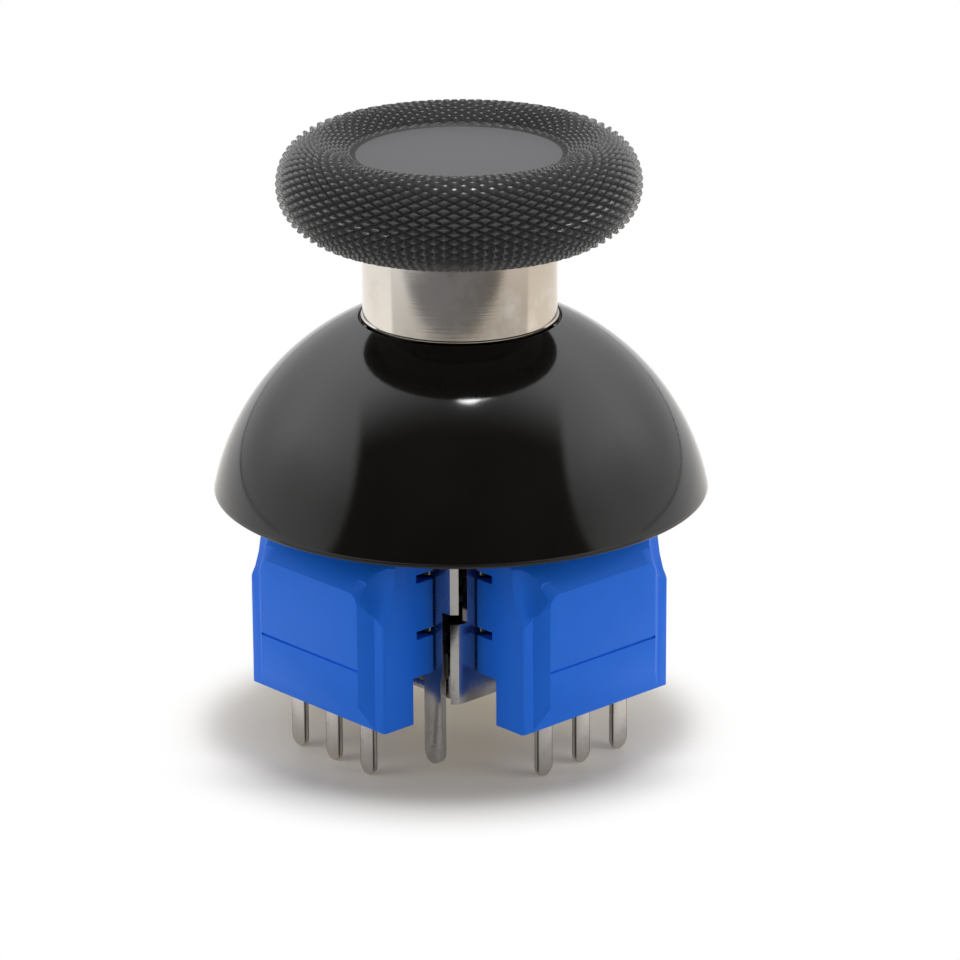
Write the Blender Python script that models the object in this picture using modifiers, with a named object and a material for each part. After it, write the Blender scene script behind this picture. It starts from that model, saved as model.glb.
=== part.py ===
"""Analog thumbstick module: a spring-centred two-axis stick with a magnetic rotary sensor on each
axis, a tactile switch under one end of its rocker, and a knurled topper that pulls off.

Lengths below are millimetres. The origin lies on the stick's axis in the plane of the circuit
board that the module is soldered to. +X and -Y are the two sides that carry the sensors.
"""

import math

import bmesh
import bpy
from mathutils import Matrix, Vector

MM = 0.001

# Driving sizes
GIMBAL_Z = 6.3          # centre about which the stick tilts
TILT_RANGE = math.radians(18)
PRESS_RANGE = math.radians(1.25)

# Metal frame
FRAME_HALF = 6.2        # outer half width
SHEET = 0.35            # thickness of the stamped sheet
FRAME_TOP = 12.1
FRAME_SKIRT = 0.95      # lower edge of the walls
FRAME_SHORT_SKIRT = 2.05
FRAME_CORNER = 0.7      # outer bend radius of the corners
MOUTH_RADIUS = 4.6      # opening that the stick passes through
STEP_Z = 5.5            # height at which the two walls of the front corner change over
STEP_GAP = 0.5
LEG_WIDTH = 1.15
LEG_TIP = -2.45
LEG_PLACE = 4.62        # from the wall's middle to the leg's middle
LUG_LENGTH = 0.35
LUG_HEIGHT = 0.25
LUG_WIDTH = 0.45
LUG_INSET = 0.3         # from the side of the housing

# Base plate
BASE_THICKNESS = 0.4
POST_RADIUS = 0.55
POST_TOP = 3.1

# Sensor housings
HOUSING_FACE = 9.46     # from the stick's axis to the corners of the outer side
HOUSING_WIDTH = 9.63
HOUSING_TOP = 9.0
HOUSING_WALL = 0.7
PANEL_RISE = 0.5        # height of the raised panel over the corners
PANEL_TOP = 6.83
PANEL_FOOT = 1.15       # the panel tapers back to the corners' level below this height
PANEL_SIDE = 3.5        # half width of the panel's flat
PANEL_DRAFT = 0.65      # width of the slope at each side of it
PANEL_CORNER = 0.6      # radius of its top corners
TOP_SLOPE = 2.0         # how far back the slope above the panel goes
SCOOP_RADIUS = 1.5
SCOOP_LENGTH = 3.3      # half height of the scoop
SCOOP_OFFSET = 0.75     # from the outer side to the scoop's centre
SEAM_Z = 2.98
SEAM_DEPTH = 0.1
SEAM_HEIGHT = 0.12
RIB_TOP = 4.95          # the corner scoop starts above this height
NOTCH_TOP = 2.35
NOTCH_DEPTH = 1.3
SLOT_HEIGHT = 0.42
SLOT_DEPTH = 1.05
SLOT_LEVELS = (4.45, 7.3)

# Sensor pins and board
PIN_PITCH = 2.5
PIN_WIDTH = 1.0
PIN_THICKNESS = 0.28
PIN_INSET = 1.03        # from the outer panel to the pin's middle
PIN_TIP = -2.98
PIN_TOP = 4.2
PIN_COUNT = 3
BOARD_THICKNESS = 0.4
CHIP_SIZE = (0.35, 1.8, 1.6)

# Magnet holders
HUB_RADIUS = 1.42
HOLDER_RADIUS = 1.9
HOLDER_THICKNESS = 0.95
MAGNET_RADIUS = 1.35
MAGNET_THICKNESS = 0.6
TONGUE_WIDTH = 0.84
TONGUE_HEIGHT = 2.2
TONGUE_LENGTH = 0.7

# Rockers
RING_LENGTH = 9.0       # lower rocker, along X
RING_WIDTH = 5.7
RING_BAR = 1.2
RING_CHEEK = 0.95
RING_HEIGHT = 2.0
ARM_RADIUS = 1.15
ARM_REACH = 10.3        # from the stick's axis to the end of the arm over the switch
ARCH_INNER = 3.9
ARCH_THICKNESS = 0.85
ARCH_HALF_WIDTH = 2.3
ARCH_HUB_RADIUS = 1.9
PIVOT_RADIUS = 0.72

# Stick
SHAFT_RADIUS = 1.5
SHAFT_TOP = 18.3
SHOULDER_RADIUS = 2.2
SHOULDER_THICKNESS = 0.6
BLOCK_HALF = 1.5        # half height of the pivot block
FOOT_RADIUS = 3.3       # spherical foot, about the gimbal centre
FOOT_EDGE = 2.1

# Dome
DOME_WIDE = 12.277      # half axes of the outer form, and the height of its centre
DOME_TALL = 12.052
DOME_CENTRE_Z = 6.717
DOME_RIM_Z = 9.094
DOME_EDGE = 0.08        # bevel of the rim and of the recess
DOME_INNER = 11.3       # inner sphere about the gimbal centre
DOME_SEAT_Z = 17.2      # floor of the recess that the collar stands in
DOME_WEB = 0.9
DOME_BOSS_RADIUS = 2.7
DOME_BOSS_DROP = 1.4

# Collar and the magnets that hold the topper
COLLAR_RADIUS = 4.7
COLLAR_TOP = 24.3
COLLAR_BOTTOM = 17.8
SPIGOT_RADIUS = 4.3     # the narrower foot that stands in the dome
COLLAR_FLOOR = 1.15
SOCKET_RADIUS = 3.3
GRIP_MAGNET_THICKNESS = 1.0

# Topper
DISC_Z = 25.77
DISC_RADIUS = 5.0
DISC_BEVEL = 0.12
GROOVE = 0.12           # smooth band between the disc and the knurl
RIM_RADIUS = 8.66       # to the middle of the knurl's height
RIM_Z = 24.33           # height of the widest circle
CREST_RADIUS = 6.9
CREST_Z = 26.52
RIM_BOTTOM_RADIUS = 6.1
RIM_BOTTOM_Z = 21.95
TOPPER_WEB = 1.35
KNURL_HEIGHT = 0.2
KNURL_COUNT = 57        # diamonds around the rim
KNURL_PITCH = 0.31      # between half rows, along the section

# Return spring
WIRE = 0.32
COIL_RADIUS = 1.55
COIL_TURNS = 3
SEAT_RADIUS = 2.6
SEAT_TOP_THICKNESS = 0.6
SEAT_SKIRT = 0.4

# Tactile switch
SWITCH_SIDE = 6.0
SWITCH_HEIGHT = 1.75
SWITCH_COVER = 0.25
SWITCH_CENTRE = -9.35
SWITCH_WELL = 2.2
PLUNGER_RADIUS = 1.05
PLUNGER_FLANGE = 1.6
SNAP_RADIUS = 2.0
SWITCH_PIN_PLACE = -10.9
SWITCH_PIN_SPREAD = 2.5

# Clearances
RUN = 0.08              # radial, between parts that turn in each other
SEAT = 0.1              # between faces that rest on each other
SLOT_RUN = 0.2          # each side of the shaft in the arch's slot
PRESS_FIT = 0.05        # radial, between parts that don't move in each other
REST = 0.05             # between a coil, cup or lid and what it stands on
COLLAR_GAP = 0.2        # radial, around the collar in the dome's recess
OVERLAP = 0.1           # depth to which a joined piece reaches into its neighbour

ROUND = 24              # facets of a small cylinder
FINE = 48               # facets of the dome and the collar

GIMBAL = Vector((0, 0, GIMBAL_Z))
FRAME_INNER = FRAME_HALF - SHEET
HOUSING_BACK = FRAME_HALF + SEAT
PIN_PLANE = HOUSING_FACE - PIN_INSET
PANEL_FACE = HOUSING_FACE + PANEL_RISE
SLOPE_RISE = (HOUSING_TOP - PANEL_TOP) / TOP_SLOPE
WELL_RADIUS = SEAT_RADIUS + SEAT + BASE_THICKNESS     # outside of the pressed well
PRESS_PIVOT = Vector((FRAME_HALF - SHEET / 2, 0, GIMBAL_Z))


# Objects, materials and shapes

for old in list(bpy.data.objects):
    bpy.data.objects.remove(old)

parts = bpy.data.collections.new("analog_stick")
tools = bpy.data.collections.new("cutters")
bpy.context.scene.collection.children.link(parts)
bpy.context.scene.collection.children.link(tools)


def material(name, colour, roughness, metallic=0.0):
    """A plain finish for one sub-part."""
    finish = bpy.data.materials.new(name)
    finish.use_nodes = True
    shader = finish.node_tree.nodes["Principled BSDF"]
    shader.inputs["Base Color"].default_value = (*colour, 1)
    shader.inputs["Roughness"].default_value = roughness
    shader.inputs["Metallic"].default_value = metallic
    return finish


def empty(name, place):
    """An axis that a group of moving parts hangs from."""
    axis = bpy.data.objects.new(name, None)
    axis.location = Vector(place) * MM
    parts.objects.link(axis)
    return axis


def new_part(name, mesh, finish, carrier=None):
    """One named sub-part, whose mesh is in the module's frame; its origin goes to its carrier."""
    obj = bpy.data.objects.new(name, mesh)
    parts.objects.link(obj)
    mesh.materials.append(finish)
    if carrier:
        mesh.transform(Matrix.Translation(-carrier.location))
        obj.parent = carrier
    return obj


def new_tool(mesh):
    """A solid that only cuts or joins."""
    obj = bpy.data.objects.new("tool", mesh)
    tools.objects.link(obj)
    obj.hide_render = True
    obj.display_type = "WIRE"
    return obj


def apply_tools(obj, meshes, operation):
    for mesh in meshes:
        step = obj.modifiers.new(operation.lower(), "BOOLEAN")
        step.operation = operation
        step.solver = "EXACT"
        step.object = new_tool(mesh)


def cut(obj, *meshes):
    apply_tools(obj, meshes, "DIFFERENCE")


def join(obj, *meshes):
    apply_tools(obj, meshes, "UNION")


def to_mesh(bm, smooth=False):
    """Turns a bmesh in millimetres into a mesh in metres."""
    bmesh.ops.scale(bm, vec=(MM, MM, MM), verts=bm.verts)
    mesh = bpy.data.meshes.new("shape")
    bm.to_mesh(mesh)
    bm.free()
    if smooth:
        mesh.shade_smooth()
        mesh.set_sharp_from_angle(angle=math.radians(35))
    return mesh


def block(low, high, bevel=0.0, edges=None, segments=2):
    """A box between two corners; edges says which of its edges take the bevel."""
    low, high = Vector(low), Vector(high)
    bm = bmesh.new()
    size = high - low
    bmesh.ops.create_cube(bm, size=1, matrix=Matrix.Translation((low + high) / 2)
                          @ Matrix.Diagonal((*size, 1)))
    if bevel:
        chosen = [e for e in bm.edges if edges is None or edges(e)]
        bmesh.ops.bevel(bm, geom=chosen, offset=bevel, segments=segments, profile=0.5,
                        affect="EDGES")
    return to_mesh(bm)


def along(direction):
    """A test for the edges that run along an axis."""
    direction = Vector(direction)

    def runs(edge):
        line = edge.verts[1].co - edge.verts[0].co
        return abs(line.normalized().dot(direction)) > 0.99
    return runs


def rod(axis, start, end, radius, centre=(0, 0, 0), facets=ROUND, end_radius=None):
    """A cylinder or cone along X, Y or Z, between two distances on that axis."""
    turn = {"X": Matrix.Rotation(math.pi / 2, 4, "Y"), "Y": Matrix.Rotation(-math.pi / 2, 4, "X"),
            "Z": Matrix.Identity(4)}[axis]
    middle = Vector(centre)
    middle["XYZ".index(axis)] += (start + end) / 2
    bm = bmesh.new()
    bmesh.ops.create_cone(bm, cap_ends=True, segments=facets, radius1=radius,
                          radius2=radius if end_radius is None else end_radius,
                          depth=abs(end - start), matrix=Matrix.Translation(middle) @ turn)
    return to_mesh(bm, smooth=True)


def plate(outline, axis, start, end):
    """An outline in the plane across an axis, extruded between two distances on that axis.

    The outline's pairs are (y, z) across X, (x, z) across Y and (x, y) across Z."""
    at = {"X": lambda a, b, d: (d, a, b), "Y": lambda a, b, d: (a, d, b),
          "Z": lambda a, b, d: (a, b, d)}[axis]
    bm = bmesh.new()
    face = bm.faces.new([bm.verts.new(at(a, b, start)) for a, b in outline])
    raised = bmesh.ops.extrude_face_region(bm, geom=[face])["geom"]
    shift = Vector(at(0, 0, end)) - Vector(at(0, 0, start))
    bmesh.ops.translate(bm, vec=shift, verts=[v for v in raised if isinstance(v, bmesh.types.BMVert)])
    bmesh.ops.recalc_face_normals(bm, faces=bm.faces)
    return to_mesh(bm)


def turned(name, profile, finish, carrier=None, facets=ROUND):
    """A profile of (radius, height) points turned about the stick's axis.

    The points run down the outer side; a profile that leaves the axis open is a closed loop."""
    bm = bmesh.new()
    points = [bm.verts.new((radius, 0, height)) for radius, height in profile]
    for first, second in zip(points, points[1:]):
        bm.edges.new((first, second))
    if profile[0][0] > 0:
        bm.edges.new((points[-1], points[0]))
    obj = new_part(name, to_mesh(bm), finish, carrier)
    spin = obj.modifiers.new("turn", "SCREW")
    spin.angle = math.tau
    spin.steps = spin.render_steps = facets
    spin.use_merge_vertices = True
    spin.merge_threshold = 1e-6
    spin.use_smooth_shade = True
    return obj


def arc(centre, radii, start, end, steps):
    """Points on an ellipse's arc, from one angle to another, in degrees."""
    points = []
    for step in range(steps + 1):
        angle = math.radians(start + (end - start) * step / steps)
        points.append((centre[0] + radii[0] * math.cos(angle), centre[1] + radii[1] * math.sin(angle)))
    return points


def quarter_turn(obj):
    """Moves a part made on the +X side to the -Y side."""
    obj.data.transform(Matrix.Rotation(-math.pi / 2, 4, "Z"))


steel = material("nickel_steel", (0.78, 0.76, 0.72), 0.25, 1.0)
blue = material("blue_plastic", (0.05, 0.2, 0.72), 0.4)
black = material("black_gloss_plastic", (0.01, 0.01, 0.01), 0.12)
grip = material("black_grip", (0.02, 0.02, 0.022), 0.4)
satin = material("satin_nickel", (0.75, 0.72, 0.68), 0.35, 1.0)
tinned = material("tinned_pin", (0.8, 0.8, 0.78), 0.3, 1.0)
nylon = material("grey_nylon", (0.6, 0.6, 0.58), 0.5)
acetal = material("black_acetal", (0.03, 0.03, 0.03), 0.45)
board = material("circuit_board", (0.03, 0.16, 0.07), 0.5)
ferrite = material("magnet", (0.5, 0.5, 0.5), 0.3, 1.0)
spring_wire = material("spring_wire", (0.7, 0.7, 0.7), 0.25, 1.0)

tilt_axes = empty("tilt_axes", GIMBAL)
press_axis = empty("press_axis", PRESS_PIVOT)
topper_axis = empty("topper_axis", (0, 0, COLLAR_TOP))
switch_axis = empty("switch_axis", (SWITCH_CENTRE, 0, 0))


# Frame and base

def make_frame():
    """One stamped box: four walls and a top with a round mouth, open below."""
    walls = block((-FRAME_HALF, -FRAME_HALF, FRAME_SKIRT), (FRAME_HALF, FRAME_HALF, FRAME_TOP),
                  FRAME_CORNER, lambda e: max(v.co.z for v in e.verts) > FRAME_TOP - SHEET
                  or along((0, 0, 1))(e), 3)
    frame = new_part("metal_frame", walls, steel)
    hollow = block((-FRAME_INNER, -FRAME_INNER, FRAME_SKIRT - 1),
                   (FRAME_INNER, FRAME_INNER, FRAME_TOP - SHEET), FRAME_CORNER - SHEET,
                   lambda e: max(v.co.z for v in e.verts) > FRAME_TOP - 2 * SHEET
                   or along((0, 0, 1))(e), 2)
    out = FRAME_HALF + 1
    bearing = HUB_RADIUS + RUN
    arm_slot = ARM_RADIUS + 2 * RUN
    drop = PRESS_RANGE * (FRAME_HALF + PRESS_PIVOT.x) + 2 * RUN
    cut(frame, hollow,
        rod("Z", FRAME_TOP - 1, FRAME_TOP + 1, MOUTH_RADIUS, facets=FINE),
        rod("X", FRAME_INNER - 1, out, bearing, (0, 0, GIMBAL_Z)),
        rod("Y", -out, 1 - FRAME_INNER, bearing, (0, 0, GIMBAL_Z)),
        rod("Y", FRAME_INNER - 1, out, bearing, (0, 0, GIMBAL_Z)),
        block((-out, -arm_slot, GIMBAL_Z - ARM_RADIUS - drop),
              (1 - FRAME_INNER, arm_slot, GIMBAL_Z + arm_slot)))
    cut_front_corner(frame, out)
    legs = [leg((0, -1), LEG_PLACE), leg((0, 1), LEG_PLACE), leg((0, 1), -LEG_PLACE),
            leg((-1, 0), -LEG_PLACE)]
    join(frame, *legs, *lugs())


def cut_front_corner(frame, out):
    """The walls of the +X -Y corner aren't joined: above the step one laps the other, and below it
    they change over. The -Y wall is shorter than the rest."""
    lap = FRAME_INNER - STEP_GAP
    cut(frame,
        block((FRAME_INNER - OVERLAP, -FRAME_INNER, STEP_Z - OVERLAP),
              (out, -lap, FRAME_TOP - 3 * FRAME_CORNER)),
        block((lap, -out, STEP_Z - STEP_GAP), (out, -lap, STEP_Z)),
        block((lap, -out, 0), (FRAME_INNER, -lap, STEP_Z - STEP_GAP / 2)),
        block((-out, -out, 0), (lap + OVERLAP, -FRAME_INNER + OVERLAP, FRAME_SHORT_SKIRT)))


def leg(side, place):
    """A solder leg of the frame with a round tip, in the wall on one side."""
    half = LEG_WIDTH / 2
    outline = [(place + half, STEP_Z - 2), *arc((place, LEG_TIP + half), (half, half), 0, -180, 8),
               (place - half, STEP_Z - 2)]
    inner, outer = FRAME_INNER, FRAME_HALF
    if side[0]:
        return plate(outline, "X", side[0] * inner, side[0] * outer)
    return plate(outline, "Y", side[1] * inner, side[1] * outer)


def lugs():
    """Small tabs bent outwards from the walls, which hold the sensor housings."""
    shapes = []
    edge = HOUSING_WIDTH / 2 - LUG_INSET
    for level in SLOT_LEVELS:
        low, high = level - LUG_HEIGHT / 2, level + LUG_HEIGHT / 2
        for side in (-1, 1):
            near, far = sorted((side * (edge - LUG_WIDTH), side * edge))
            shapes.append(block((FRAME_HALF - OVERLAP, near, low), (FRAME_HALF + LUG_LENGTH, far, high)))
            shapes.append(block((near, -FRAME_HALF - LUG_LENGTH, low),
                                (far, OVERLAP - FRAME_HALF, high)))
    return shapes


def make_base():
    """The plate that closes the frame below, with a well for the spring and a post per corner."""
    half = FRAME_INNER - SEAT
    plate_mesh = block((-half, -half, FRAME_SKIRT), (half, half, FRAME_SKIRT + BASE_THICKNESS),
                       0.6, along((0, 0, 1)), 3)
    base = new_part("base_plate", plate_mesh, steel)
    join(base, rod("Z", 0, FRAME_SKIRT + BASE_THICKNESS - REST, WELL_RADIUS, facets=FINE // 2))
    post = half - POST_RADIUS
    join(base, *[rod("Z", FRAME_SKIRT + OVERLAP, POST_TOP, POST_RADIUS, (x, y, 0), 16)
                 for x in (-post, post) for y in (-post, post)])
    cut(base, rod("Z", BASE_THICKNESS, FRAME_SKIRT + 1, SEAT_RADIUS + SEAT, facets=FINE // 2))


# Sensors

def make_housing(name):
    """A hollow box, open towards the frame, with a raised panel, a seam and scooped corners."""
    half = HOUSING_WIDTH / 2
    shape = block((HOUSING_BACK, -half, 0), (HOUSING_FACE, half, HOUSING_TOP), 0.12,
                  lambda e: min(v.co.x for v in e.verts) > HOUSING_BACK + 0.1
                  and along((0, 0, 1))(e))
    housing = new_part(name, shape, blue)
    slope_back = PANEL_FACE - TOP_SLOPE
    beyond = PANEL_FACE + 1
    top_slope = plate([(slope_back, HOUSING_TOP + 1), (slope_back, HOUSING_TOP),
                       (beyond, PANEL_TOP - SLOPE_RISE), (beyond, HOUSING_TOP + 1)],
                      "Y", -half - 1, half + 1)
    notch_out = HOUSING_BACK + NOTCH_DEPTH
    inner = half - HOUSING_WALL
    inner_face = HOUSING_FACE - HOUSING_WALL
    pin_low, pin_high = PIN_PLANE - PIN_THICKNESS / 2, PIN_PLANE + PIN_THICKNESS / 2
    cut(housing, top_slope)
    join(housing, raised_panel())
    cut(housing,
        block((HOUSING_BACK - 1, -half - 1, -1), (notch_out, half + 1, NOTCH_TOP)),
        plate([(HOUSING_BACK - 1, NOTCH_TOP + HOUSING_WALL),
               (inner_face, NOTCH_TOP + HOUSING_WALL), (inner_face, under_slope(inner_face)),
               (slope_back, under_slope(slope_back)), (slope_back, HOUSING_TOP - HOUSING_WALL),
               (HOUSING_BACK - 1, HOUSING_TOP - HOUSING_WALL)], "Y", -inner, inner),
        block((notch_out + HOUSING_WALL / 2, HOUSING_WALL - inner, HOUSING_WALL),
              (inner_face - SEAT, inner - HOUSING_WALL, NOTCH_TOP + 1)),
        block((PANEL_FACE - SEAM_DEPTH, -PANEL_SIDE, SEAM_Z - SEAM_HEIGHT / 2),
              (beyond, PANEL_SIDE, SEAM_Z + SEAM_HEIGHT / 2)))
    for side in (-1, 1):
        cut(housing, corner_scoop(side, half))
        for level in SLOT_LEVELS:
            near, far = sorted((side * (half - LUG_INSET - LUG_WIDTH - SEAT), side * (half + 1)))
            cut(housing, block((HOUSING_BACK - 1, near, level - SLOT_HEIGHT / 2),
                               (HOUSING_BACK + SLOT_DEPTH, far, level + SLOT_HEIGHT / 2)))
    for place in pin_places():
        cut(housing, block((pin_low - SEAT, place - PIN_WIDTH / 2 - SEAT, -1),
                           (pin_high + SEAT, place + PIN_WIDTH / 2 + SEAT, 2 * HOUSING_WALL)))
    return housing


def under_slope(x):
    """Height of the housing's inner face under the slope above the panel."""
    height = PANEL_TOP + SLOPE_RISE * (PANEL_FACE - x) - HOUSING_WALL * math.hypot(1, SLOPE_RISE)
    return min(height, HOUSING_TOP - HOUSING_WALL - 0.01)


def raised_panel():
    """The panel with sloping sides: its outline is larger at the corners' level, and its top
    follows the slope above it."""
    rings = []
    for x, draft, low in ((PANEL_FACE, 0, PANEL_FOOT), (HOUSING_FACE, PANEL_DRAFT, SEAM_DEPTH / 3),
                          (HOUSING_FACE - OVERLAP, PANEL_DRAFT, SEAM_DEPTH / 3)):
        side = PANEL_SIDE - PANEL_CORNER
        rise = SLOPE_RISE * PANEL_RISE if draft else 0
        radii = (PANEL_CORNER + draft, PANEL_CORNER + rise)
        top = PANEL_TOP - PANEL_CORNER
        rings.append([(x, y, z) for y, z in [(-PANEL_SIDE - draft, low), (PANEL_SIDE + draft, low)]
                      + arc((side, top), radii, 0, 90, 5) + arc((-side, top), radii, 90, 180, 5)])
    bm = bmesh.new()
    front, middle, back = [[bm.verts.new(point) for point in ring] for ring in rings]
    bm.faces.new(front)
    bm.faces.new(back)
    for first, second in ((front, middle), (middle, back)):
        for index in range(len(first)):
            bm.faces.new((first[index - 1], first[index], second[index], second[index - 1]))
    bmesh.ops.recalc_face_normals(bm, faces=bm.faces)
    return to_mesh(bm)


def corner_scoop(side, half):
    """The round hollow that takes the corner away above the rib."""
    bm = bmesh.new()
    centre = Vector((HOUSING_FACE + SCOOP_OFFSET, side * half, RIB_TOP + SCOOP_LENGTH))
    bmesh.ops.create_uvsphere(bm, u_segments=20, v_segments=12, radius=SCOOP_RADIUS,
                              matrix=Matrix.Translation(centre)
                              @ Matrix.Diagonal((1, 1, SCOOP_LENGTH / SCOOP_RADIUS, 1)))
    return to_mesh(bm, smooth=True)


def pin_places():
    return [(number - (PIN_COUNT - 1) / 2) * PIN_PITCH for number in range(PIN_COUNT)]


def make_pin(name, place):
    """A flat terminal with a round tip, as wide along the housing as it is seen to be."""
    half = PIN_WIDTH / 2
    outline = [(place + half, PIN_TOP), *arc((place, PIN_TIP + half), (half, half), 0, -180, 8),
               (place - half, PIN_TOP)]
    return new_part(name, plate(outline, "X", PIN_PLANE - PIN_THICKNESS / 2,
                                PIN_PLANE + PIN_THICKNESS / 2), tinned)


def make_magnet_holder(name, carrier):
    """A disc that turns behind the wall: its hub runs in the wall and is driven by a tongue."""
    face = HOUSING_BACK + HOLDER_THICKNESS
    holder = new_part(name, rod("X", HOUSING_BACK, face, HOLDER_RADIUS, (0, 0, GIMBAL_Z)), acetal)
    hub_end = FRAME_INNER - TONGUE_LENGTH - SEAT
    join(holder, rod("X", hub_end, HOUSING_BACK + OVERLAP, HUB_RADIUS, (0, 0, GIMBAL_Z)))
    tongue = TONGUE_WIDTH / 2 + RUN
    cut(holder, rod("X", face - MAGNET_THICKNESS - SEAT, face + 1, MAGNET_RADIUS + RUN,
                    (0, 0, GIMBAL_Z)),
        block((hub_end - 1, -tongue, GIMBAL_Z - 2), (FRAME_INNER + SEAT, tongue, GIMBAL_Z + 2)))
    return holder


def make_sensor(prefix, turn):
    """The fixed and turning pieces of one sensor, made on the +X side."""
    face = HOUSING_BACK + HOLDER_THICKNESS
    pieces = [make_housing(prefix + "_sensor_housing")]
    board_in = PIN_PLANE - PIN_THICKNESS / 2 - SEAT - BOARD_THICKNESS
    inner = HOUSING_WIDTH / 2 - HOUSING_WALL - SEAT
    card = block((board_in, -inner, NOTCH_TOP + HOUSING_WALL + SEAT),
                 (board_in + BOARD_THICKNESS, inner, under_slope(board_in + BOARD_THICKNESS) - SEAT))
    pieces.append(new_part(prefix + "_sensor_board", card, board))
    deep, wide, tall = CHIP_SIZE
    chip = block((board_in - SEAT - deep, -wide / 2, GIMBAL_Z - tall / 2),
                 (board_in - SEAT, wide / 2, GIMBAL_Z + tall / 2), 0.06)
    pieces.append(new_part(prefix + "_sensor_chip", chip, acetal))
    for number, place in enumerate(pin_places(), 1):
        pieces.append(make_pin(f"{prefix}_sensor_pin_{number}", place))
    turning = [make_magnet_holder(prefix + "_magnet_holder", None)]
    disc = rod("X", face - MAGNET_THICKNESS, face, MAGNET_RADIUS, (0, 0, GIMBAL_Z))
    turning.append(new_part(prefix + "_magnet", disc, ferrite))
    for piece in pieces + turning:
        if turn:
            quarter_turn(piece)
            for step in piece.modifiers:
                quarter_turn(step.object)
    for piece in turning:
        piece.data.transform(Matrix.Translation(-tilt_axes.location))
        piece.parent = tilt_axes


# Rockers

def make_lower_rocker():
    """A ring around the stick, which it turns on a pin; one end drives the X magnet, the other
    is an arm that reaches over the switch."""
    length, width, height = RING_LENGTH / 2, RING_WIDTH / 2, RING_HEIGHT / 2
    ring = new_part("x_rocker", block((-length, -width, GIMBAL_Z - height),
                                      (length, width, GIMBAL_Z + height), 0.3), acetal, press_axis)
    join(ring, rod("X", -ARM_REACH, OVERLAP - length, ARM_RADIUS, (0, 0, GIMBAL_Z)),
         block((length - 0.2, -TONGUE_WIDTH / 2, GIMBAL_Z - TONGUE_HEIGHT / 2),
               (FRAME_INNER, TONGUE_WIDTH / 2, GIMBAL_Z + TONGUE_HEIGHT / 2)))
    opening = length - RING_BAR
    cut(ring, block((-opening, RING_CHEEK - width, GIMBAL_Z - 2), (opening, width - RING_CHEEK,
                                                                  GIMBAL_Z + 2), 0.25,
                    along((0, 0, 1))),
        rod("Y", -width - 1, width + 1, PIVOT_RADIUS + PRESS_FIT, (0, 0, GIMBAL_Z), 20))
    pin = rod("Y", -width + 0.05, width - 0.05, PIVOT_RADIUS, (0, 0, GIMBAL_Z), 20)
    new_part("pivot_pin", pin, steel, press_axis)


def make_upper_rocker():
    """An arch over the stick with a slot along Y, which only a tilt towards X moves."""
    outer = ARCH_INNER + ARCH_THICKNESS
    outline = [(y, GIMBAL_Z + z) for y, z in arc((0, 0), (outer, outer), 0, 180, 18)
               + arc((0, 0), (ARCH_INNER, ARCH_INNER), 180, 0, 18)]
    arch = new_part("y_rocker", plate(outline, "X", -ARCH_HALF_WIDTH, ARCH_HALF_WIDTH), acetal,
                    tilt_axes)
    foot = outer + 0.2
    tongue_end = FRAME_INNER - SEAT
    tongue = block((-TONGUE_WIDTH / 2, -tongue_end, GIMBAL_Z - TONGUE_HEIGHT / 2),
                   (TONGUE_WIDTH / 2, 0.3 - foot, GIMBAL_Z + TONGUE_HEIGHT / 2))
    join(arch, rod("Y", -foot, -ARCH_INNER, ARCH_HUB_RADIUS, (0, 0, GIMBAL_Z)),
         rod("Y", ARCH_INNER, foot, ARCH_HUB_RADIUS, (0, 0, GIMBAL_Z)), tongue,
         rod("Y", foot - 0.2, FRAME_HALF - 0.05, HUB_RADIUS, (0, 0, GIMBAL_Z)))
    reach = outer * math.sin(TILT_RANGE) + SHAFT_RADIUS / math.cos(TILT_RANGE) + SLOT_RUN
    wide = SHAFT_RADIUS + SLOT_RUN
    cut(arch, block((-wide, -reach, GIMBAL_Z + 1), (wide, reach, GIMBAL_Z + outer + 1), 0.3,
                    along((0, 0, 1))))


# Stick

def make_shaft():
    """The turned rod: a round foot, a block on the pivot pin, a shoulder under the dome."""
    foot = arc((0, GIMBAL_Z), (FOOT_RADIUS, FOOT_RADIUS),
               -math.degrees(math.acos(FOOT_EDGE / FOOT_RADIUS)), -90, 4)
    shoulder_top = DOME_SEAT_Z - DOME_WEB - DOME_BOSS_DROP - SEAT
    profile = [(0, SHAFT_TOP), (SHAFT_RADIUS - 0.2, SHAFT_TOP), (SHAFT_RADIUS, SHAFT_TOP - 0.2),
               (SHAFT_RADIUS, shoulder_top), (SHOULDER_RADIUS, shoulder_top),
               (SHOULDER_RADIUS, shoulder_top - SHOULDER_THICKNESS),
               (SHAFT_RADIUS, shoulder_top - SHOULDER_THICKNESS - 0.3),
               (SHAFT_RADIUS, GIMBAL_Z - 1.9), (FOOT_EDGE, GIMBAL_Z - 2.25), *foot[:-1],
               (0, GIMBAL_Z - FOOT_RADIUS)]
    shaft = turned("stick_shaft", profile, steel, tilt_axes)
    cheek_gap = RING_WIDTH / 2 - RING_CHEEK - SEAT
    join(shaft, block((-SHAFT_RADIUS - 0.1, -cheek_gap, GIMBAL_Z - BLOCK_HALF),
                      (SHAFT_RADIUS + 0.1, cheek_gap, GIMBAL_Z + BLOCK_HALF), 0.2))
    cut(shaft, rod("Y", -3, 3, PIVOT_RADIUS + RUN, (0, 0, GIMBAL_Z), 20))


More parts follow.
